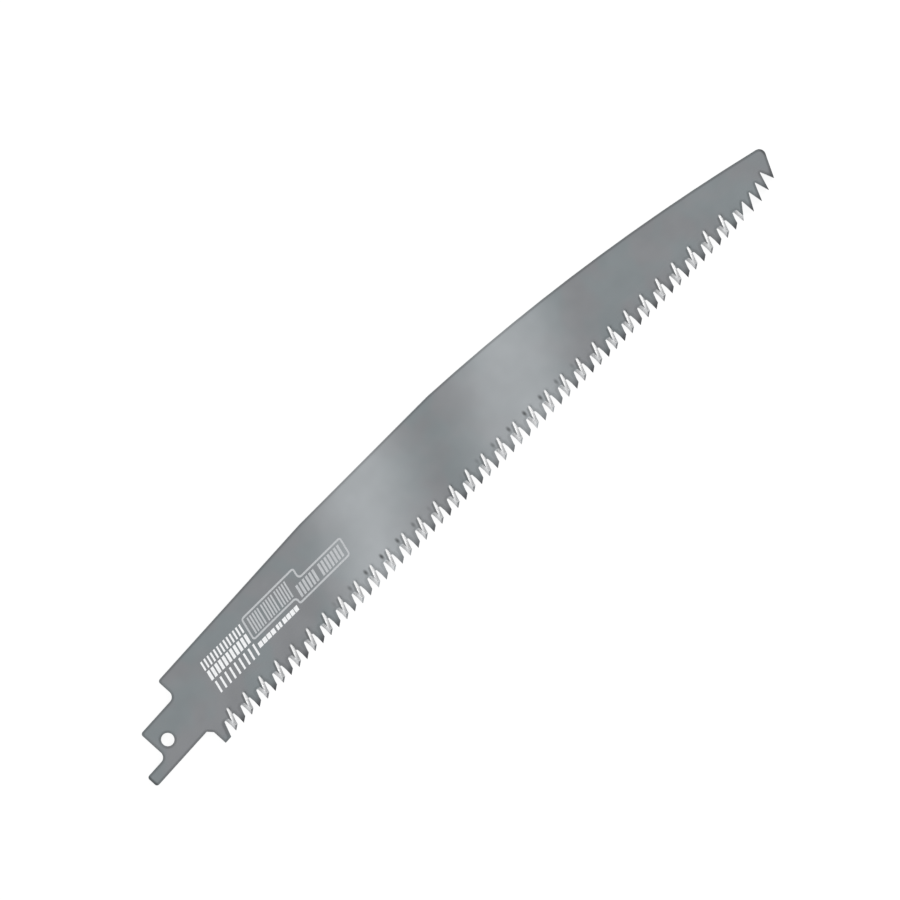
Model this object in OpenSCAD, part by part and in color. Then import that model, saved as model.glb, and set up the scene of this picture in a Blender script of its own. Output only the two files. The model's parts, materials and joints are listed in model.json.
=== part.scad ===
// Reciprocating saw blade, one flat steel plate, in millimetres.
// Origin on the axis of the shank hole at mid thickness.
// +X runs along the shank towards the nose, +Y towards the back edge,
// +Z out of the side on which the bevels of teeth 1, 3, 5 ... show.

/* [Shank] */
// Thickness of the plate
thickness = 0.9; // [0.7:0.05:1.3]
// Diameter of the pin hole
hole_d = 3.6; // [3:0.1:5]
// Width of the shank from its upper to its lower edge
shank_w = 12.7; // [11:0.1:13.5]
// Height of the hole axis over the lower edge of the shank
hole_rise = 6.35; // [5.5:0.1:7.5]
// Distance from the hole axis to the front shoulder
shoulder_x = 3.8; // [3.2:0.1:5]
// Length of the tang that stands ahead of the shoulder
tang_l = 7.4; // [4:0.2:12]
// Width of the tang
tang_w = 3.6; // [2.6:0.1:4.4]
// Distance from the hole axis to the step up to the body
step_x = 9.75; // [8:0.05:12]
// Radius in the two inner corners of the shank
inner_r = 1.8; // [0.6:0.1:2.2]
// Radius on the outer corners of the shank and the body
outer_r = 0.8; // [0.4:0.1:1.2]
// Length of the slanting cut below the shank, along the shank
relief_l = 1.2; // [0.4:0.1:1.8]
// Height of that slanting cut
relief_h = 1.5; // [0.6:0.1:2.4]

/* [Body] */
// Height of the back edge over the hole axis
back_y = 12.4; // [11:0.05:14]
// Depth of the heel below the hole axis
heel_y = 12.1; // [11.9:0.05:13.5]
// Length of the level back edge, from the hole axis
level_l = 66; // [40:0.1:90]
// Length of the long curve, back from the last bevelled tip
curve_l = 91.2; // [75:0.1:105]
// Slope of the long curve where it starts
curve_slope = 5.83; // [4:0.01:6.5]
// Radius of the long curve of the back edge
curve_r = 600; // [500:10:900]

/* [Bevelled teeth] */
// Distance from the hole axis to the tip of the first tooth
tip_x = 13.97; // [13.2:0.01:15]
// Depth of the first tip below the hole axis
tip_y = 12.04; // [11.6:0.02:12.4]
// Angle by which the tooth line falls away from the shank
line_drop = 2.87; // [1.5:0.01:3.5]
// Length of the bevelled row, from the first tip to the last
row_l = 192; // [180:1:194]
// Distance from tip to tip, fitted to a whole number of teeth
pitch = 3; // [2.6:0.1:3.6]
// Depth of a gullet below the tips, to the top of its round root
gullet_h = 4.05; // [3:0.05:5]
// Lean of the front edge of a tooth from the upright
front_lean = 4.5; // [0:0.5:8]
// Lean of the back edge of a tooth from the upright
back_lean = 20.5; // [14:0.5:22]
// Width by which the back edge of a tooth is ground in behind its tip
back_ease = 0.14; // [0.05:0.01:0.2]
// Angle of the ground bevels across the plate
bevel = 47; // [40:0.5:50]
// Rise of the short top edge of a tooth behind its tip
top_rise = 32; // [20:1:40]
// Angle of the bevel on that top edge
top_bevel = 35; // [15:1:45]
// Height by which the top edge is ground back from the sharp tip
tip_trim = 0.05; // [0.02:0.01:0.15]
// Sideways set of a tooth at its tip, left and right in turn
set_w = 0.2; // [0.05:0.01:0.3]
// Height over the tips at which the teeth are bent
set_h = 2.1; // [1.2:0.1:2.6]

/* [Bevel run-out] */
// Depth below the tips at which the run-out of a back bevel ends
streak_end = 6.1; // [5.4:0.05:6.4]
// Width of the run-out across its length
streak_w = 0.8; // [0.4:0.02:0.9]
// Depth of the run-out at its upright wall
streak_h = 0.22; // [0.1:0.02:0.4]

/* [Nose teeth] */
// Number of plain teeth at the nose
nose_n = 4; // [2:1:4]
// Distance from tip to tip of the plain teeth
nose_pitch = 3.5; // [3:0.1:3.6]
// Depth of the plain gullets
nose_h = 4.2; // [2.5:0.1:4.6]
// Width of the root of a plain gullet
nose_root_w = 0.25; // [0.1:0.05:0.5]
// Radius of the curve on which the plain tips lie
nose_r = 34; // [26:1:50]
// Distance from the last bevelled tip to the first plain tip
nose_gap = 3.9; // [3.4:0.1:4.4]
// Length of straight tooth line kept after the last bevelled tip
nose_lead = 1.3; // [0.4:0.1:2.4]
// Lean of the end edge away from the upright
end_lean = 28.5; // [20:0.5:34]
// Width taken off the sharp last tooth along the end edge
end_trim = 0.13; // [0:0.01:0.3]
// Radius of the corner between end edge and back edge
nose_corner_r = 1.8; // [0.8:0.1:2.4]

/* [Hidden] */
$fn = 72;
half_t = thickness / 2;
shank_low = -hole_rise;
shank_top = shank_w - hole_rise;
tang_top = shank_low + tang_w;
tang_end = -shoulder_x - tang_l;
count = round(row_l / pitch);
step = row_l / count;

// Point at u along the tooth line from the first tip and v over it
function on_line(u, v) = [
    tip_x + u * cos(line_drop) + v * sin(line_drop),
    -tip_y - u * sin(line_drop) + v * cos(line_drop)
];

// Back edge: level, then parallel to the teeth, then a long curve
curve_x = on_line(row_l, 0)[0] - curve_l;
fall_end = [curve_x, back_y - (curve_x - level_l) * tan(line_drop)];
curve_c = fall_end - curve_r * [sin(curve_slope), cos(curve_slope)];

// Plain teeth stand on a curve that starts tangent to the tooth line
nose_u = row_l + nose_lead;
function nose_angle(k) = (nose_gap - nose_lead + k * nose_pitch) / nose_r * 180 / PI;
function nose_point(k, h) = on_line(
    nose_u + (nose_r - h) * sin(nose_angle(k)),
    nose_r - (nose_r - h) * cos(nose_angle(k))
);
function nose_gullet(k) = [
    nose_point(k, nose_h),
    nose_point(k - nose_root_w / nose_pitch, nose_h)
];
end_dir = [sin(end_lean), cos(end_lean)];
end_in = [-cos(end_lean), sin(end_lean)];
sharp_tip = nose_point(nose_n - 1, 0);
last_flank = nose_point(nose_n - 1, 1) - sharp_tip;
last_tip = sharp_tip + last_flank * end_trim / (last_flank * end_in);

// Centre of the nose corner: inside the end edge and the long curve
corner_0 = last_tip + nose_corner_r * end_in - curve_c;
corner_b = corner_0 * end_dir;
corner_d = corner_b * corner_b - corner_0 * corner_0 + pow(curve_r - nose_corner_r, 2);
corner_c = curve_c + corner_0 + (sqrt(corner_d) - corner_b) * end_dir;
corner_low = corner_c - nose_corner_r * end_in;
corner_ray = (corner_c - curve_c) / (curve_r - nose_corner_r);
corner_top = curve_c + curve_r * corner_ray;

// Section of a gullet, seen along the direction in which it is ground:
// an edge through one tip, one just behind the other tip, and a circle between
// that crosses both edges by a hair instead of touching them
cut_front = atan(tan(front_lean) * cos(bevel));
cut_back = atan(tan(back_lean) * cos(bevel));
cut_spread = tan(cut_front) + tan(cut_back);
front_u = (half_t + set_w) * sin(bevel);
cut_w = (step + back_ease) * cos(bevel);
back_u = front_u - cut_w;
root_part = 1 / cos(cut_front) + 1 / cos(cut_back) - cut_spread;
root_r = (cut_w - gullet_h * cut_spread) / root_part;
root_v = gullet_h - root_r;
root_ease = 0.01;
root_at = [front_u - root_v * tan(cut_front) - root_r / cos(cut_front), root_v];

// Run-out: a shallow bevel carried on above the root, with an upright wall
streak_fall = streak_h / streak_w;
streak_shift = -0.06;
streak_u = set_w * tan(bevel) + streak_end * tan(back_lean) + streak_shift;
streak_l = streak_end - root_v;
streak_over = 0.3;

// Blanks of the bent teeth, and how far cutters run past the plate
blank_from = -step / 7;
blank_l = step * 0.9;
blank_under = 0.6;
blank_over = 0.5;
spare = step / 5;
over = 2;
cut_span = 8;
curve_over = 40;
curve_under = 1;

// Sharp outline of the plate without the set teeth
module outline() {
    polygon(concat(
        [
            [tang_end, shank_low],
            [tang_end, tang_top],
            [-shoulder_x, tang_top],
            [-shoulder_x, shank_top],
            [step_x, shank_top],
            [step_x, back_y],
            [level_l, back_y],
            fall_end
        ],
        [corner_top, corner_low, last_tip],
        nose_gullet(nose_n - 1),
        [for (k = [nose_n - 2:-1:0]) each concat([nose_point(k, 0)], nose_gullet(k))],
        [
            on_line(row_l, 0),
            on_line(row_l - spare, 0),
            on_line(row_l - spare, set_h + blank_over / 2),
            on_line(-spare, set_h + blank_over / 2),
            [on_line(-spare, 0)[0], -heel_y],
            [step_x, -heel_y],
            [step_x, shank_low - relief_h],
            [step_x - relief_l, shank_low]
        ]
    ));
}

// Region under the long curve, and the round nose corner
module curve_bulge() {
    intersection() {
        translate(curve_c) circle(r = curve_r, $fn = 1440);
        polygon([
            fall_end - [0, curve_under],
            fall_end + [0, curve_over],
            corner_top + [0, curve_over],
            corner_top - [0, curve_under]
        ]);
    }
    translate(corner_c) circle(r = nose_corner_r);
}

// What a corner radius leaves: a square less a circle
module corner(at, r, sx, sy) {
    translate(at) mirror([sx < 0 ? 1 : 0, 0]) mirror([0, sy < 0 ? 1 : 0]) difference() {
        square(r);
        translate([r, r]) circle(r);
    }
}

module plate() {
    linear_extrude(height = thickness, center = true) difference() {
        union() {
            outline();
            curve_bulge();
            corner([-shoulder_x, tang_top], inner_r, -1, 1);
            corner([step_x, shank_top], inner_r, -1, 1);
        }
        corner([tang_end, tang_top], outer_r, 1, -1);
        corner([tang_end, shank_low], outer_r, 1, 1);
        corner([-shoulder_x, shank_top], outer_r, 1, -1);
        corner([step_x, back_y], outer_r, 1, -1);
    }
}

// Blank of one tooth, bent to one side below the set height
module tooth_blank(side) {
    foot = side * set_w * (set_h + blank_under) / set_h;
    translate([blank_from, 0, 0]) rotate([90, 0, 90]) linear_extrude(height = blank_l)
        polygon([
            [set_h + blank_over, -half_t],
            [set_h + blank_over, half_t],
            [set_h, half_t],
            [-blank_under, half_t + foot],
            [-blank_under, foot - half_t],
            [set_h, -half_t]
        ]);
}

// Cut of one gullet, slanting through the plate to one side
module gullet_cut(side) {
    rotate([0, side * bevel, 0]) linear_extrude(height = cut_span, center = true) {
        translate(root_at) circle(r = root_r + root_ease, $fn = 36);
        polygon([
            root_at + root_r * [-cos(cut_back), sin(cut_back)],
            root_at + root_r * [cos(cut_front), sin(cut_front)],
            [front_u + over * tan(cut_front), -over],
            [back_u - over * tan(cut_back), -over]
        ]);
    }
}

// Run-out of the bevel on the back of one tooth
module streak_cut(side) {
    mirror([0, 0, side < 0 ? 1 : 0]) translate([streak_u, streak_end, half_t])
        rotate([90, 0, -back_lean]) linear_extrude(height = streak_l)
            polygon([
                [-streak_over / streak_fall, streak_over],
                [streak_w, streak_over],
                [streak_w, -streak_h]
            ]);
}

// Short bevelled top edge, cut from the tip on the outer face
module top_cut(side) {
    translate([0, tip_trim, side * (half_t + set_w)]) rotate([0, 0, top_rise])
        rotate([side * top_bevel, 0, 0]) translate([blank_from, -over, -over])
            cube([blank_l, over, 2 * over]);
}

module blade() {
    color("Silver") difference() {
        union() {
            plate();
            translate([tip_x, -tip_y, 0]) rotate([0, 0, -line_drop])
                for (i = [0:count - 1])
                    translate([i * step, 0, 0]) tooth_blank(i % 2 == 0 ? -1 : 1);
        }
        translate([tip_x, -tip_y, 0]) rotate([0, 0, -line_drop]) {
            for (i = [0:count])
                translate([i * step, 0, 0]) gullet_cut(i % 2 == 0 ? 1 : -1);
            for (i = [0:count - 1])
                translate([i * step, 0, 0]) {
                    top_cut(i % 2 == 0 ? -1 : 1);
                    streak_cut(i % 2 == 0 ? 1 : -1);
                }
        }
        cylinder(d = hole_d, h = thickness + over, center = true);
    }
}

blade();
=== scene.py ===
"""Looks of a reciprocating saw blade: steel finish, etched marks, studio and camera."""

import json
import math
from collections import namedtuple

import bmesh
import bpy
from bpy.props import FloatProperty, FloatVectorProperty, PointerProperty
from mathutils import Matrix, Vector


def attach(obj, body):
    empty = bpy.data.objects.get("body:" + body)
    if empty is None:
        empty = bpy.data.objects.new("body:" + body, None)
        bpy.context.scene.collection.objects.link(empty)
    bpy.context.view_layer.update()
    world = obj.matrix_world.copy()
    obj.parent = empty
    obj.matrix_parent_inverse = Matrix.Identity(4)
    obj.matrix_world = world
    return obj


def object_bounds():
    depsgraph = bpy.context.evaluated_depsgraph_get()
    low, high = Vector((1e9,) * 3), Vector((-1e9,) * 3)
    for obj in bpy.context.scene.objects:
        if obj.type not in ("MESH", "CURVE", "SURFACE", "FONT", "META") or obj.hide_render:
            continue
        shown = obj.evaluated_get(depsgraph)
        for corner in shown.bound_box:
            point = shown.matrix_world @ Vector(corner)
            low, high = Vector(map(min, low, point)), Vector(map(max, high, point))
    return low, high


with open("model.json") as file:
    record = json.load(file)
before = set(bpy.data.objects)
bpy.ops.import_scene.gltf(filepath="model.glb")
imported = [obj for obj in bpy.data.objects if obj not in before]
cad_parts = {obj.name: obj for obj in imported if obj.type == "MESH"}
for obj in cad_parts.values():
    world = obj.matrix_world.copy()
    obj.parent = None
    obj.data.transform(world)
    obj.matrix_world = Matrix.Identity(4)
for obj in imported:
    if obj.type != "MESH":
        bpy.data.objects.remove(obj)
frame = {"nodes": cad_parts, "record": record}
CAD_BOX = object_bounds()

bl_info = {
    "name": "Reciprocating Saw Blade",
    "version": (1, 1, 0),
    "blender": (4, 5, 0),
    "location": "3D View > Sidebar > Saw Blade",
    "description": "Finishes the steel of a saw blade, etches its marks and sets the studio",
    "category": "Object",
}

MM = 0.001
MOUNTS = {mount["name"]: mount for mount in frame["record"]["mounts"]}
PLATE_TOP = MOUNTS["shank_face_upper"]["pos_m"][2]


# Settings


class BladeForm(bpy.types.PropertyGroup):
    """Where the teeth run, for the finishes that follow them"""

    tip_x: FloatProperty(
        name="First Tip",
        description="Distance from the shank hole to the first tooth tip, along the shank",
        default=13.97 * MM, unit="LENGTH",
    )
    tip_depth: FloatProperty(
        name="Tip Depth",
        description="Depth of the first tooth tip below the shank hole",
        default=12.04 * MM, unit="LENGTH",
    )
    line_drop: FloatProperty(
        name="Tooth Line Drop",
        description="Angle by which the tooth line falls away from the shank",
        default=math.radians(2.87), subtype="ANGLE",
    )
    pitch: FloatProperty(
        name="Pitch",
        description="Distance from tooth tip to tooth tip",
        default=3 * MM, unit="LENGTH",
    )
    nose_start: FloatProperty(
        name="Nose Start",
        description="Distance from the first tip to the curve of the plain nose teeth",
        default=193.3 * MM, unit="LENGTH",
    )
    nose_radius: FloatProperty(
        name="Nose Radius",
        description="Radius of the curve on which the plain tips lie",
        default=34 * MM, unit="LENGTH",
    )


class SteelFinish(bpy.types.PropertyGroup):
    """Satin strip steel with ground bevels and hardened tooth tips, and painted sheen and shade
    """

    plate_color: FloatVectorProperty(
        name="Plate",
        description="Reflection colour of the rolled strip",
        default=(0.353, 0.39, 0.406), size=3, min=0, max=1, subtype="COLOR",
    )
    warm_color: FloatVectorProperty(
        name="Warm Blotches",
        description="Reflection colour of faint warmer blotches in the strip",
        default=(0.373, 0.384, 0.4), size=3, min=0, max=1, subtype="COLOR",
    )
    # Painted reflection: colour of the bright bands of softbox light
    painted_sheen_color: FloatVectorProperty(
        name="Bright Bands",
        description="Reflection colour of the two brighter bands across the plate",
        default=(0.597, 0.63, 0.652), size=3, min=0, max=1, subtype="COLOR",
    )
    tip_color: FloatVectorProperty(
        name="Hardened Tips",
        description="Reflection colour of the heat-hardened tooth tips",
        default=(0.1, 0.103, 0.11), size=3, min=0, max=1, subtype="COLOR",
    )
    tip_height: FloatProperty(
        name="Hardened Height",
        description="Height over the tooth tips at which the hardening fades out",
        default=3.1 * MM, unit="LENGTH",
    )
    # Near white: freshly ground steel with a painted highlight of the softbox
    streak_color: FloatVectorProperty(
        name="Run-outs",
        description="Colour of the freshly ground run-outs over the tooth backs",
        default=(0.93, 0.93, 0.93), size=3, min=0, max=1, subtype="COLOR",
    )
    # Painted light: backs and fronts differ in brightness by the way they face the softboxes
    back_color: FloatVectorProperty(
        name="Back Bevels",
        description="Colour of the ground bevels on the tooth backs",
        default=(0.45, 0.455, 0.46), size=3, min=0, max=1, subtype="COLOR",
    )
    front_color: FloatVectorProperty(
        name="Front Bevels",
        description="Colour of the ground bevels on the tooth fronts",
        default=(0.74, 0.75, 0.76), size=3, min=0, max=1, subtype="COLOR",
    )
    roughness: FloatProperty(
        name="Roughness",
        description="Roughness of the satin surface",
        default=0.36, min=0, max=1, subtype="FACTOR",
    )
    # Painted shade along the edges: width and brightness of the darker rim
    edge_width: FloatProperty(
        name="Edge Break",
        description="Width along every edge in which the broken edge fades out",
        default=1.3 * MM, unit="LENGTH",
    )
    edge_shade: FloatProperty(
        name="Edge Shade",
        description="Brightness of the broken edge as a share of the plate's",
        default=0.7, min=0, max=1, subtype="FACTOR",
    )


class EtchedMarks(bpy.types.PropertyGroup):
    """Frosted marks on the upper side: plain bars and a stepped frame, no lettering"""

    origin_x: FloatProperty(
        name="Frame Corner X",
        description="Distance along the shank from its hole to the frame's lower corner",
        default=34.95 * MM, unit="LENGTH",
    )
    origin_y: FloatProperty(
        name="Frame Corner Y",
        description="Height of the frame's lower corner over the shank hole",
        default=0.58 * MM, unit="LENGTH",
    )
    fall: FloatProperty(
        name="Fall",
        description="Angle by which the marks fall away from the shank",
        default=math.radians(3.2), subtype="ANGLE",
    )
    lean: FloatProperty(
        name="Lean",
        description="Lean of the marks' short edges from the upright",
        default=math.radians(13.3), subtype="ANGLE",
    )
    line: FloatProperty(
        name="Line Width",
        description="Width of the frame's line",
        default=0.52 * MM, unit="LENGTH",
    )
    corner: FloatProperty(
        name="Corner Radius",
        description="Outer radius of the frame's corners",
        default=0.9 * MM, unit="LENGTH",
    )
    height: FloatProperty(
        name="Frost Height",
        description="Height of the frosted marks over the plate",
        default=0.012 * MM, unit="LENGTH",
    )
    white: FloatVectorProperty(
        name="White Frost",
        description="Colour of the strongly etched bars",
        default=(0.97, 0.98, 0.99), size=3, min=0, max=1, subtype="COLOR",
    )
    pale: FloatVectorProperty(
        name="Pale Frost",
        description="Colour of the lightly etched frame and bars",
        default=(0.57, 0.588, 0.605), size=3, min=0, max=1, subtype="COLOR",
    )


class Studio(bpy.types.PropertyGroup):
    """Pale floor, soft light and the camera over the blade"""

    view_turn: FloatProperty(
        name="View Turn",
        description="Angle from the picture's level line up to the blade's long axis",
        default=math.radians(47.93), subtype="ANGLE",
    )
    view_x: FloatProperty(
        name="View Centre X",
        description="Point under the picture's centre, along the shank",
        default=107.926 * MM, unit="LENGTH",
    )
    view_y: FloatProperty(
        name="View Centre Y",
        description="Point under the picture's centre, across the shank",
        default=-4.142 * MM, unit="LENGTH",
    )
    view_width: FloatProperty(
        name="View Width",
        description="Width that the picture takes in at the plate",
        default=240.34 * MM, unit="LENGTH",
    )
    lens: FloatProperty(
        name="Focal Length",
        description="Focal length of the long studio lens, in millimetres",
        default=180, min=50, max=300,
    )
    world_light: FloatProperty(
        name="Overhead Light",
        description="Strength of the even light from above and all round",
        default=0.64, min=0, max=3,
    )
    nose_light: FloatProperty(
        name="Nose-side Light",
        description="Brightness of the softbox beyond the nose",
        default=4.0, min=0, max=20,
    )
    shank_light: FloatProperty(
        name="Shank-side Light",
        description="Brightness of the softbox beyond the shank",
        default=1.6, min=0, max=20,
    )
    softbox_reach: FloatProperty(
        name="Softbox Distance",
        description="Level distance from the blade's middle to each softbox",
        default=0.95, unit="LENGTH",
    )
    softbox_height: FloatProperty(
        name="Softbox Height",
        description="Height of each softbox's middle over the blade",
        default=0.3, unit="LENGTH",
    )
    softbox_width: FloatProperty(
        name="Softbox Width",
        description="Level side of each softbox; its upright side is half as long",
        default=1.3, unit="LENGTH",
    )
    floor_color: FloatVectorProperty(
        name="Floor",
        description="Colour of the pale floor",
        default=(0.2, 0.2, 0.2), size=3, min=0, max=1, subtype="COLOR",
    )
    floor_glow: FloatProperty(
        name="Floor Glow",
        description="Light that the floor gives off as a light table does",
        default=0.86, min=0, max=3,
    )
    floor_size: FloatProperty(
        name="Floor Size",
        description="Side of the square floor",
        default=12, unit="LENGTH",
    )


# Shader helpers


def add_node(tree, kind, inputs=None, **settings):
    """A new shader node, its inputs given as values or as sockets to link from."""
    node = tree.nodes.new(kind)
    for name, value in settings.items():
        setattr(node, name, value)
    for key, value in (inputs or {}).items():
        if isinstance(value, bpy.types.NodeSocket):
            tree.links.new(value, node.inputs[key])
        else:
            node.inputs[key].default_value = value
    return node


def math_node(tree, operation, *values):
    return add_node(
        tree, "ShaderNodeMath", dict(enumerate(values)), operation=operation
    ).outputs[0]


def product(tree, *factors):
    """One value from several, multiplied."""
    result = factors[0]
    for factor in factors[1:]:
        result = math_node(tree, "MULTIPLY", result, factor)
    return result


def less(tree, share, value):
    """1 where the value is 0, and 1 less that share where it is 1."""
    return math_node(tree, "MULTIPLY_ADD", value, -share, 1.0)


def vector_node(tree, operation, *values):
    return add_node(
        tree, "ShaderNodeVectorMath", dict(enumerate(values)), operation=operation
    )


def fade(tree, value, start, end):
    """0 at start and 1 at end, smooth between them."""
    node = add_node(
        tree, "ShaderNodeMapRange",
        {"Value": value, "From Min": start, "From Max": end, "To Min": 0.0, "To Max": 1.0},
        interpolation_type="SMOOTHSTEP",
    )
    return node.outputs["Result"]


def mix_color(tree, factor, first, second):
    """The first colour where the factor is 0 and the second where it is 1."""
    return add_node(
        tree, "ShaderNodeMix", {0: factor, 6: first, 7: second}, data_type="RGBA"
    ).outputs[2]


def shaded(tree, factor, color, value):
    """The colour, at that share of its brightness where the factor is 1."""
    dark = add_node(tree, "ShaderNodeHueSaturation", {"Color": color, "Value": value})
    return mix_color(tree, factor, color, dark.outputs[0])


def noise(tree, place, scale, detail=2.0):
    return add_node(
        tree, "ShaderNodeTexNoise",
        {"Vector": place, "Scale": scale, "Detail": detail, "Roughness": 0.6},
    ).outputs["Fac"]


def relief(tree, shader, strength, height):
    """A bump of at most a hundredth of a millimetre on the shader's normal."""
    depth = 0.01 * MM
    bump = add_node(
        tree, "ShaderNodeBump", {"Strength": strength, "Distance": depth, "Height": height}
    )
    tree.links.new(bump.outputs[0], shader.inputs["Normal"])


def opaque(color):
    return (*color, 1.0)


def new_material(name):
    """An empty node material with its output, and a Principled shader linked to it."""
    material = bpy.data.materials.new(name)
    material.use_nodes = True
    tree = material.node_tree
    tree.nodes.clear()
    shader = add_node(tree, "ShaderNodeBsdfPrincipled")
    add_node(tree, "ShaderNodeOutputMaterial", {"Surface": shader.outputs[0]})
    return material, tree, shader


# Steel


Surface = namedtuple(
    "Surface", "place normal aside upwards level run own_run height over_tips"
)


def steel_surface(tree, form):
    """Sockets that tell where a point of the blade lies and which way its face looks.

    aside and upwards are the flat normal's parts towards the nose and the back edge, and
    level is 1 on the two sides and 0 on what stands square to them. run goes along the
    tooth line from the first tip, own_run from the first tooth ground on the same side,
    height is over the straight row, and over_tips follows the nose curve too.
    """
    place = add_node(tree, "ShaderNodeTexCoord").outputs["Object"]
    normal = add_node(tree, "ShaderNodeNewGeometry").outputs["True Normal"]
    own_normal = add_node(
        tree, "ShaderNodeVectorTransform", {0: normal},
        vector_type="NORMAL", convert_from="WORLD", convert_to="OBJECT",
    ).outputs[0]
    aside, upwards, out = add_node(tree, "ShaderNodeSeparateXYZ", {0: own_normal}).outputs

    along = Vector((math.cos(form.line_drop), -math.sin(form.line_drop), 0))
    up = Vector((math.sin(form.line_drop), math.cos(form.line_drop), 0))
    first_tip = Vector((form.tip_x, -form.tip_depth, 0))
    from_tip = vector_node(tree, "SUBTRACT", place, first_tip).outputs[0]
    run = vector_node(tree, "DOT_PRODUCT", from_tip, along).outputs["Value"]
    height = vector_node(tree, "DOT_PRODUCT", from_tip, up).outputs["Value"]

    # Underneath, the first tooth ground on that side is one pitch on
    under = math_node(tree, "LESS_THAN", out, 0.0)
    own_run = math_node(tree, "MULTIPLY_ADD", under, -form.pitch, run)

    nose_centre = first_tip + along * form.nose_start + up * form.nose_radius
    flat_place = vector_node(tree, "MULTIPLY", place, (1, 1, 0)).outputs[0]
    reach = vector_node(tree, "DISTANCE", flat_place, nose_centre).outputs["Value"]
    over_nose = math_node(tree, "SUBTRACT", form.nose_radius, reach)
    on_nose = math_node(tree, "GREATER_THAN", run, form.nose_start)
    over_tips = add_node(tree, "ShaderNodeMix", {0: on_nose, 2: height, 3: over_nose})

    return Surface(
        place=place, normal=normal, aside=aside, upwards=upwards,
        level=math_node(tree, "ABSOLUTE", out), run=run, own_run=own_run, height=height,
        over_tips=over_tips.outputs[0],
    )


def painted_sheen_bands(tree, place):
    """Painted reflection: two soft bright bands of softbox light that cross the plate aslant,
    from 0 to 1.
    """
    aslant = (1.0, -0.57, 0.0)
    # Place in that direction, in millimetres, and strength
    stops = ((54, 0.0), (80, 1.0), (106, 0.0), (137, 0.92), (163, 0.0))
    start, end = stops[0][0], stops[-1][0]
    across = vector_node(tree, "DOT_PRODUCT", place, aslant).outputs["Value"]
    position = add_node(
        tree, "ShaderNodeMapRange",
        {"Value": across, "From Min": start * MM, "From Max": end * MM},
    )
    ramp = add_node(tree, "ShaderNodeValToRGB", {"Fac": position.outputs["Result"]})
    ramp.color_ramp.interpolation = "EASE"
    elements = ramp.color_ramp.elements
    while len(elements) < len(stops):
        elements.new(0.5)
    for element, (at, value) in zip(elements, stops):
        element.position = (at - start) / (end - start)
        element.color = (value, value, value, 1)
    return ramp.outputs["Color"]


def strip_color(tree, place, clouds, bands, finish):
    """Rolled strip with warmer blotches, the painted bright reflection bands and faint darker
    clouds.
    """
    blotch_scale, blotch_span = 70.0, (0.4, 0.6)
    cloud_shade, cloud_span = 0.93, (0.7, 0.3)
    blotches = fade(tree, noise(tree, place, blotch_scale), *blotch_span)
    color = mix_color(tree, blotches, opaque(finish.plate_color), opaque(finish.warm_color))
    color = mix_color(tree, bands, color, opaque(finish.painted_sheen_color))
    return shaded(tree, fade(tree, clouds, *cloud_span), color, cloud_shade)


def painted_dark_spots(tree, at, bands, form):
    """Painted shade: soft dark spots over every second tooth, where the wheel came in, seen in
    the painted bright bands.
    """
    spot_run, spot_height = 0.38 * MM, 5.4 * MM
    half_width, half_height = 0.75 * MM, 1.3 * MM
    rim, core = 1.0, 0.1
    shifted = math_node(tree, "SUBTRACT", at.own_run, spot_run)
    aside = math_node(tree, "WRAP", shifted, form.pitch, -form.pitch)
    above = math_node(tree, "SUBTRACT", at.height, spot_height)
    away = add_node(
        tree, "ShaderNodeCombineXYZ",
        {
            0: math_node(tree, "DIVIDE", aside, half_width),
            1: math_node(tree, "DIVIDE", above, half_height),
        },
    ).outputs[0]
    length = vector_node(tree, "LENGTH", away).outputs["Value"]
    in_row = product(
        tree, fade(tree, at.own_run, -form.pitch, 0.0),
        fade(tree, at.own_run, form.nose_start, form.nose_start - form.pitch),
    )
    return product(tree, fade(tree, length, rim, core), in_row, bands)


def painted_edge_shade(tree, at, form, finish):
    """Painted shade along every edge, where a rounded edge turns from the light: 1 on the flat
    sides along every edge, less between the teeth.
    """
    share_in_teeth, beside_row = 0.5, 1 * MM
    down_to_roots = (7 * MM, 4 * MM)
    turned_away, on_sides = (0.9995, 0.99), (0.97, 0.99)
    rounded = add_node(
        tree, "ShaderNodeBevel", {"Radius": finish.edge_width}, samples=8
    ).outputs[0]
    alike = vector_node(tree, "DOT_PRODUCT", rounded, at.normal).outputs["Value"]
    in_teeth = product(
        tree, fade(tree, at.over_tips, *down_to_roots),
        fade(tree, at.run, -beside_row, 0.0),
        fade(tree, at.run, form.nose_start, form.nose_start - beside_row),
    )
    return product(
        tree, fade(tree, alike, *turned_away), fade(tree, at.level, *on_sides),
        less(tree, share_in_teeth, in_teeth),
    )


def far_end_shade(tree, place):
    """1 along the edges of the tang's end and the nose, where the painted edge shade is deeper.
    """
    starts, full = 0.9 * MM, 0.35 * MM
    middle = (CAD_BOX[0] + CAD_BOX[1]) / 2
    half_length = (CAD_BOX[1].x - CAD_BOX[0].x) / 2
    from_middle = vector_node(tree, "SUBTRACT", place, middle).outputs[0]
    lengthwise = add_node(tree, "ShaderNodeSeparateXYZ", {0: from_middle}).outputs[0]
    far = math_node(tree, "ABSOLUTE", lengthwise)
    return fade(tree, far, half_length - starts, half_length - full)


def ground_bevels(tree, at):
    """1 on the sloping faces of the gullets, but not on the short top edge of a tooth."""
    off_sides, off_walls = (0.99, 0.97), (0.2, 0.4)
    off_top_edges, under_roots = (-0.42, -0.33), (4.2 * MM, 4 * MM)
    return product(
        tree, fade(tree, at.level, *off_sides), fade(tree, at.level, *off_walls),
        fade(tree, at.upwards, *off_top_edges), fade(tree, at.height, *under_roots),
    )


def bevel_color_and_painted_light(tree, at, finish):
    """Ground bevels, lighter or darker by the way they face as painted light: fronts with
    painted shade towards the root, and plain backs.
    """
    root_shade, up_to_roots = 0.72, (1.5 * MM, 4 * MM)
    shank_to_nose = (-0.15, 0.15)
    fronts = shaded(
        tree, fade(tree, at.height, *up_to_roots), opaque(finish.front_color), root_shade
    )
    backs = opaque(finish.back_color)
    return mix_color(tree, fade(tree, at.aside, *shank_to_nose), fronts, backs)


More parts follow.
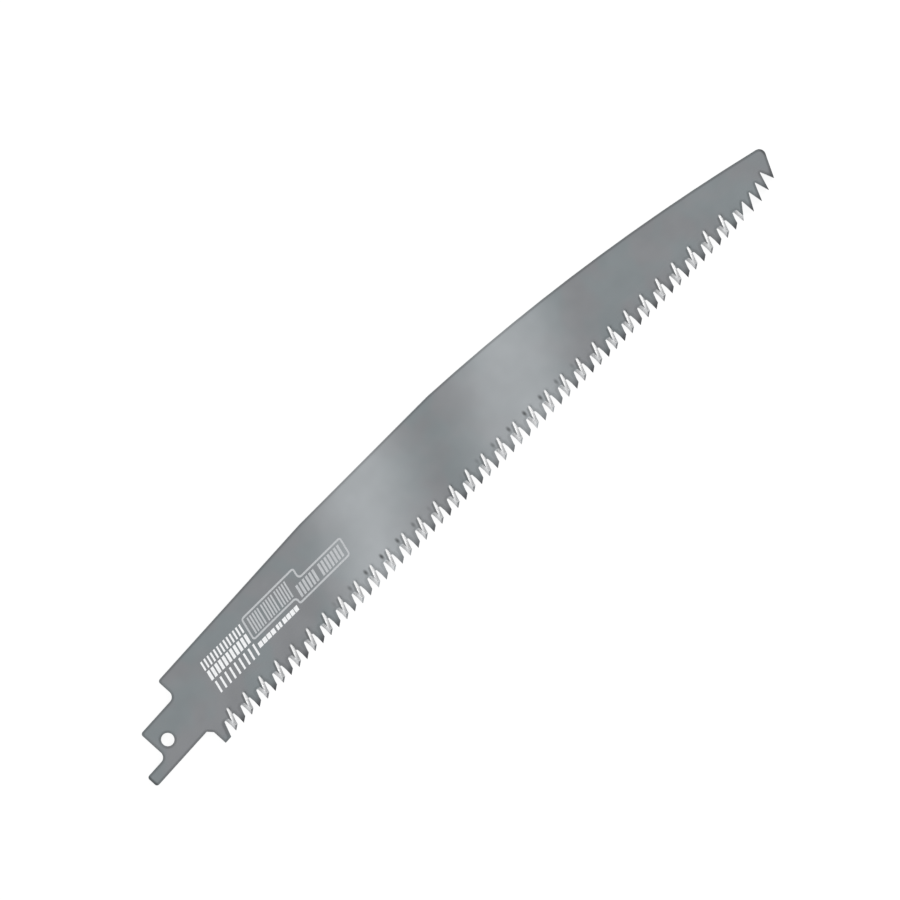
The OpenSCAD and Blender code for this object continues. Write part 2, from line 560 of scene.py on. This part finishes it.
def hardened_tips(tree, at, clouds, bands, ground, finish):
    """Fades up from the tips of the row, less in the painted bright bands and on cleaned
    bevels.
    """
    wander, cleaned_share, banded_share = 0.6 * MM, 0.6, 0.6
    over_tip, first_tooth = (0.3 * MM, 1.3 * MM), (-1.2 * MM, -0.4 * MM)
    wavering = math_node(tree, "MULTIPLY_ADD", clouds, wander, -wander / 2)
    over_tips = math_node(tree, "ADD", at.over_tips, wavering)
    cleaned = product(tree, ground, fade(tree, at.over_tips, *over_tip))
    return product(
        tree, fade(tree, over_tips, finish.tip_height, 0.0),
        fade(tree, at.run, *first_tooth),
        less(tree, cleaned_share, cleaned), less(tree, banded_share, bands),
    )


def run_outs(tree, at, form):
    """Slanting streaks where the wheel left every second tooth, freshly ground and with a
    painted highlight, and their dark margins: a darker band left of each streak and faint
    painted shade in the deeper run-out by the wall.
    """
    lean, lean_from = 0.38, 4.5 * MM
    left, right, wall = 1.73 * MM, 2.68 * MM, 2.75 * MM
    margin, soft, right_weight = 0.42 * MM, 0.08 * MM, 0.25
    streak_top, streak_foot = (6.35 * MM, 5.7 * MM), (2 * MM, 4.2 * MM)
    dark_top, dark_foot = (6.2 * MM, 5.5 * MM), (2.4 * MM, 3.3 * MM)
    aside = math_node(tree, "WRAP", at.own_run, 2 * form.pitch, 0.0)
    rise = math_node(tree, "SUBTRACT", at.height, lean_from)
    across = math_node(tree, "MULTIPLY_ADD", rise, -lean, aside)
    row_end = form.nose_start - form.pitch
    in_row = product(
        tree, fade(tree, at.own_run, -soft, 0.0),
        fade(tree, at.own_run, row_end, row_end - 0.1 * form.pitch),
    )
    streak = product(
        tree, fade(tree, across, left - soft, left + soft),
        fade(tree, across, right + soft, right - soft),
        fade(tree, aside, wall + soft, wall - soft),
        fade(tree, at.height, *streak_top), fade(tree, at.height, *streak_foot), in_row,
    )
    dark = product(
        tree, fade(tree, across, left - 2 * margin, left - margin),
        fade(tree, aside, wall + 2 * margin, wall + margin),
        less(tree, 1 - right_weight, fade(tree, across, left, right)),
        fade(tree, at.height, *dark_top), fade(tree, at.height, *dark_foot), in_row,
    )
    return streak, dark


def steel_material(form, finish):
    material, tree, shader = new_material("satin_steel")
    cloud_scale, spot_shade, end_shade, margin_shade = 90.0, 0.25, 0.6, 0.68
    at = steel_surface(tree, form)
    clouds = noise(tree, at.place, cloud_scale)
    # Painted reflection: bright bands of softbox light laid into the plate's colour
    bands = painted_sheen_bands(tree, at.place)
    ground = ground_bevels(tree, at)
    hardened = hardened_tips(tree, at, clouds, bands, ground, finish)
    streak, margins = run_outs(tree, at, form)

    base = strip_color(tree, at.place, clouds, bands, finish)
    # Painted shade: dark spots within the bright bands, over every second tooth
    base = shaded(tree, painted_dark_spots(tree, at, bands, form), base, spot_shade)
    # Painted shade along every edge
    base = shaded(tree, painted_edge_shade(tree, at, form, finish), base, finish.edge_shade)
    # Painted shade, deeper at the tang's end and the nose
    base = shaded(tree, far_end_shade(tree, at.place), base, end_shade)
    # Ground bevels: matt ground steel, with painted light and shade by facing and depth
    base = mix_color(tree, ground, base, bevel_color_and_painted_light(tree, at, finish))
    base = mix_color(tree, hardened, base, opaque(finish.tip_color))
    # Dark margins by the run-outs, faint painted shade beside the wall
    base = shaded(tree, margins, base, margin_shade)
    # Painted highlight over the freshly ground run-outs
    base = mix_color(tree, streak, base, opaque(finish.streak_color))
    tree.links.new(base, shader.inputs["Base Color"])

    # Freshly ground faces are matt, and scatter light more than they mirror it
    matt_share = 0.8
    matt = math_node(tree, "MAXIMUM", ground, streak)
    tree.links.new(less(tree, matt_share, matt), shader.inputs["Metallic"])

    # Rolling lines: noise drawn out along the strip, in the gloss and the relief
    drawn_out, line_detail, line_relief = (60.0, 2600.0, 2600.0), 3.0, 0.12
    line_span, gloss_range = (0.3, 0.7), 0.03
    drawn = add_node(
        tree, "ShaderNodeMapping", {"Vector": at.place, "Scale": drawn_out}
    ).outputs[0]
    lines = noise(tree, drawn, 1.0, line_detail)
    rough = add_node(
        tree, "ShaderNodeMapRange",
        {
            "Value": lines, "From Min": line_span[0], "From Max": line_span[1],
            "To Min": finish.roughness - gloss_range,
            "To Max": finish.roughness + gloss_range,
        },
    )
    tree.links.new(rough.outputs["Result"], shader.inputs["Roughness"])
    relief(tree, shader, line_relief, lines)
    return material


class SAWBLADE_OT_steel(bpy.types.Operator):
    """Give the plate its satin steel, with ground bevels and dark hardened tips"""

    bl_idname = "sawblade.steel"
    bl_label = "Finish Steel"

    def execute(self, context):
        blade = frame["nodes"]["blade"]
        material = steel_material(context.scene.blade_form, context.scene.steel_finish)
        blade.data.materials.clear()
        blade.data.materials.append(material)
        return {"FINISHED"}


# Etched marks, laid out in millimetres from the frame's lower corner

FRAME_CORNERS = (
    (0, 0), (15.97, 0), (15.97, -1.82), (35.1, -1.82),
    (35.1, 3.7), (19.7, 3.7), (19.7, 6.67), (0, 6.67),
)

# Rows of bars: object, frost, left, right, low, high, number of bars, share filled
BAR_ROWS = (
    ("etched_block", "white", -15.7, -0.9, 3.45, 5.95, 13, 0.46),
    ("etched_block", "white", -15.5, -0.8, 0.3, 2.95, 11, 0.66),
    ("etched_row", "white", -15.0, -0.4, -3.7, -0.45, 9, 0.34),
    ("etched_dashes", "white", 0.5, 6.6, -2.6, -1.2, 4, 0.84),
    ("etched_dashes", "white", 7.2, 9.0, -2.6, -1.2, 2, 0.8),
    ("etched_dashes", "white", 9.6, 15.2, -2.6, -1.2, 4, 0.86),
    ("etched_bars", "pale", 1.5, 5.7, 0.95, 5.65, 5, 0.54),
    ("etched_bars", "pale", 6.5, 10.7, 0.95, 5.65, 5, 0.54),
    ("etched_bars", "pale", 11.5, 15.7, 0.95, 5.65, 5, 0.54),
    ("etched_bars", "pale", 17.5, 24.2, -0.8, 2.6, 6, 0.62),
    ("etched_bars", "pale", 25.7, 33.5, -0.8, 2.6, 7, 0.62),
)


def on_plate(marks, a, b):
    """Point of the plate at a along the marks and b above the frame's lower corner."""
    run = a + b * math.tan(marks.lean)
    return Vector((
        marks.origin_x + run * math.cos(marks.fall) + b * math.sin(marks.fall),
        marks.origin_y - run * math.sin(marks.fall) + b * math.cos(marks.fall),
    ))


def add_prism(mesh, marks, loops):
    """A closed thin solid between an outer loop and, where given, an inner loop."""
    sunk, top = PLATE_TOP - marks.height, PLATE_TOP + marks.height
    rings = [
        [[mesh.verts.new((*on_plate(marks, a, b), z)) for a, b in loop] for z in (sunk, top)]
        for loop in loops
    ]
    for low, high in rings:
        for i in range(len(low)):
            j = (i + 1) % len(low)
            mesh.faces.new((low[i], low[j], high[j], high[i]))
    if len(rings) == 1:
        low, high = rings[0]
        mesh.faces.new(high)
        mesh.faces.new(low)
        return
    for level in (0, 1):
        outer, inner = rings[0][level], rings[1][level]
        for i in range(len(outer)):
            j = (i + 1) % len(outer)
            mesh.faces.new((outer[i], outer[j], inner[j], inner[i]))


def bars(left, right, low, high, count, fill):
    """Equal bars in a row, each filling that share of its place."""
    step = (right - left) / (count - 1 + fill)
    starts = [left + i * step for i in range(count)]
    return [
        [[(start, low), (start + fill * step, low), (start + fill * step, high), (start, high)]]
        for start in starts
    ]


def round_loop(corners, radius, inset, steps=6):
    """A right-angled outline, given anticlockwise, with round corners, moved inwards."""
    points = [Vector(corner) for corner in corners]
    loop = []
    for i, here in enumerate(points):
        before = (here - points[i - 1]).normalized()
        after = (points[(i + 1) % len(points)] - here).normalized()
        normals = Vector((-before.y, before.x)), Vector((-after.y, after.x))
        turn = 1 if before.cross(after) > 0 else -1
        centre = here + turn * radius * (normals[0] + normals[1])
        arc = turn * radius - inset
        for k in range(steps + 1):
            angle = math.pi / 2 * k / steps
            outwards = normals[0] * math.cos(angle) + normals[1] * math.sin(angle)
            loop.append(tuple(centre - arc * outwards))
    return loop


def frost_material(name, color):
    """Etched steel: matt, finely grained, a little uneven."""
    material, tree, shader = new_material(name)
    grain_scale, grain_span, grain_relief = 2600.0, (0.62, 0.38), 0.2
    thin_share, thin_shade = 0.8, 0.86
    place = add_node(tree, "ShaderNodeTexCoord").outputs["Object"]
    grain = noise(tree, place, grain_scale)
    thin = math_node(tree, "MULTIPLY", fade(tree, grain, *grain_span), thin_share)
    tree.links.new(
        shaded(tree, thin, opaque(color), thin_shade), shader.inputs["Base Color"]
    )
    shader.inputs["Metallic"].default_value = 0.0
    shader.inputs["Roughness"].default_value = 0.7
    relief(tree, shader, grain_relief, grain)
    return material


def add_marks(name, marks, shapes, material):
    """One object from several marks, given in millimetres, riding with the blade."""
    mesh = bmesh.new()
    for loops in shapes:
        add_prism(mesh, marks, [[(a * MM, b * MM) for a, b in loop] for loop in loops])
    bmesh.ops.recalc_face_normals(mesh, faces=mesh.faces)
    data = bpy.data.meshes.new(name)
    mesh.to_mesh(data)
    mesh.free()
    data.materials.append(material)
    piece = bpy.data.objects.new(name, data)
    bpy.context.scene.collection.objects.link(piece)
    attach(piece, "root")


class SAWBLADE_OT_etch(bpy.types.Operator):
    """Etch plain slanted bars and a stepped frame into the upper side"""

    bl_idname = "sawblade.etch"
    bl_label = "Etch Marks"

    def execute(self, context):
        marks = context.scene.etched_marks
        frosts = {
            "white": frost_material("white_frost", marks.white),
            "pale": frost_material("pale_frost", marks.pale),
        }
        shapes = {}
        for name, frost, *row in BAR_ROWS:
            shapes.setdefault((name, frost), []).extend(bars(*row))
        for (name, frost), loops in shapes.items():
            add_marks(name, marks, loops, frosts[frost])
        radius = marks.corner / MM
        outline = [
            round_loop(FRAME_CORNERS, radius, inset) for inset in (0, marks.line / MM)
        ]
        add_marks("etched_frame", marks, [outline], frosts["pale"])
        return {"FINISHED"}


# Studio


def floor_material(stage):
    material, tree, shader = new_material("pale_floor")
    cloud_scale, cloud_shade = 3.0, 0.99
    place = add_node(tree, "ShaderNodeTexCoord").outputs["Object"]
    clouds = noise(tree, place, cloud_scale)
    tree.links.new(
        shaded(tree, clouds, opaque(stage.floor_color), cloud_shade),
        shader.inputs["Base Color"],
    )
    shader.inputs["Roughness"].default_value = 0.9
    shader.inputs["Specular IOR Level"].default_value = 0.0
    shader.inputs["Emission Color"].default_value = (1, 1, 1, 1)
    shader.inputs["Emission Strength"].default_value = stage.floor_glow
    return material


def add_floor(stage):
    half = stage.floor_size / 2
    low = CAD_BOX[0].z
    data = bpy.data.meshes.new("floor")
    data.from_pydata(
        [(-half, -half, low), (half, -half, low), (half, half, low), (-half, half, low)],
        [], [(0, 1, 2, 3)],
    )
    data.materials.append(floor_material(stage))
    floor = bpy.data.objects.new("floor", data)
    bpy.context.scene.collection.objects.link(floor)


def add_softbox(name, stage, aim, towards, brightness):
    """An area light of that brightness, facing the blade from that side."""
    data = bpy.data.lights.new(name, "AREA")
    data.shape = "RECTANGLE"
    data.size, data.size_y = stage.softbox_width, stage.softbox_width / 2
    data.energy = brightness * math.pi * data.size * data.size_y
    lamp = bpy.data.objects.new(name, data)
    lamp.location = (
        aim + towards * stage.softbox_reach + Vector((0, 0, stage.softbox_height))
    )
    lamp.rotation_euler = (aim - lamp.location).to_track_quat("-Z", "Y").to_euler()
    bpy.context.scene.collection.objects.link(lamp)


class SAWBLADE_OT_stage(bpy.types.Operator):
    """Lay the floor, set the soft light and put the camera over the blade"""

    bl_idname = "sawblade.stage"
    bl_label = "Set Studio"

    def execute(self, context):
        scene = context.scene
        stage = scene.studio
        scene.view_settings.view_transform = "Standard"

        world = bpy.data.worlds.new("studio")
        world.use_nodes = True
        background = world.node_tree.nodes["Background"]
        background.inputs["Color"].default_value = (1, 1, 1, 1)
        background.inputs["Strength"].default_value = stage.world_light
        scene.world = world

        aim = Vector((stage.view_x, stage.view_y, PLATE_TOP))
        nose_side = Vector((1, 0, 0))
        add_softbox("nose_softbox", stage, aim, nose_side, stage.nose_light)
        add_softbox("shank_softbox", stage, aim, -nose_side, stage.shank_light)
        add_floor(stage)

        data = bpy.data.cameras.new("camera")
        data.lens = stage.lens
        camera = bpy.data.objects.new("camera", data)
        distance = stage.view_width * stage.lens / data.sensor_width
        camera.matrix_world = (
            Matrix.Translation(aim + Vector((0, 0, distance)))
            @ Matrix.Rotation(-stage.view_turn, 4, "Z")
        )
        scene.collection.objects.link(camera)
        scene.camera = camera
        return {"FINISHED"}


# Add-on


class SAWBLADE_PT_sidebar(bpy.types.Panel):
    """Sizes, finishes and steps of the saw blade"""

    bl_idname = "SAWBLADE_PT_sidebar"
    bl_label = "Saw Blade"
    bl_space_type = "VIEW_3D"
    bl_region_type = "UI"
    bl_category = "Saw Blade"

    def draw(self, context):
        for operator, group_names in STEPS:
            box = self.layout.box()
            box.operator(operator)
            for group_name in group_names:
                settings = getattr(context.scene, group_name)
                for name in settings.bl_rna.properties.keys():
                    if name not in ("rna_type", "name"):
                        box.prop(settings, name)


GROUPS = {
    "blade_form": BladeForm,
    "steel_finish": SteelFinish,
    "etched_marks": EtchedMarks,
    "studio": Studio,
}
STEPS = (
    ("sawblade.steel", ("blade_form", "steel_finish")),
    ("sawblade.etch", ("etched_marks",)),
    ("sawblade.stage", ("studio",)),
)
CLASSES = (
    *GROUPS.values(),
    SAWBLADE_OT_steel,
    SAWBLADE_OT_etch,
    SAWBLADE_OT_stage,
    SAWBLADE_PT_sidebar,
)


def register():
    for cls in CLASSES:
        bpy.utils.register_class(cls)
    for name, group in GROUPS.items():
        setattr(bpy.types.Scene, name, PointerProperty(type=group))


def unregister():
    for name in GROUPS:
        delattr(bpy.types.Scene, name)
    for cls in reversed(CLASSES):
        bpy.utils.unregister_class(cls)


def main():
    register()
    bpy.ops.sawblade.steel()
    bpy.ops.sawblade.etch()
    bpy.ops.sawblade.stage()


if __name__ == "__main__":
    main()
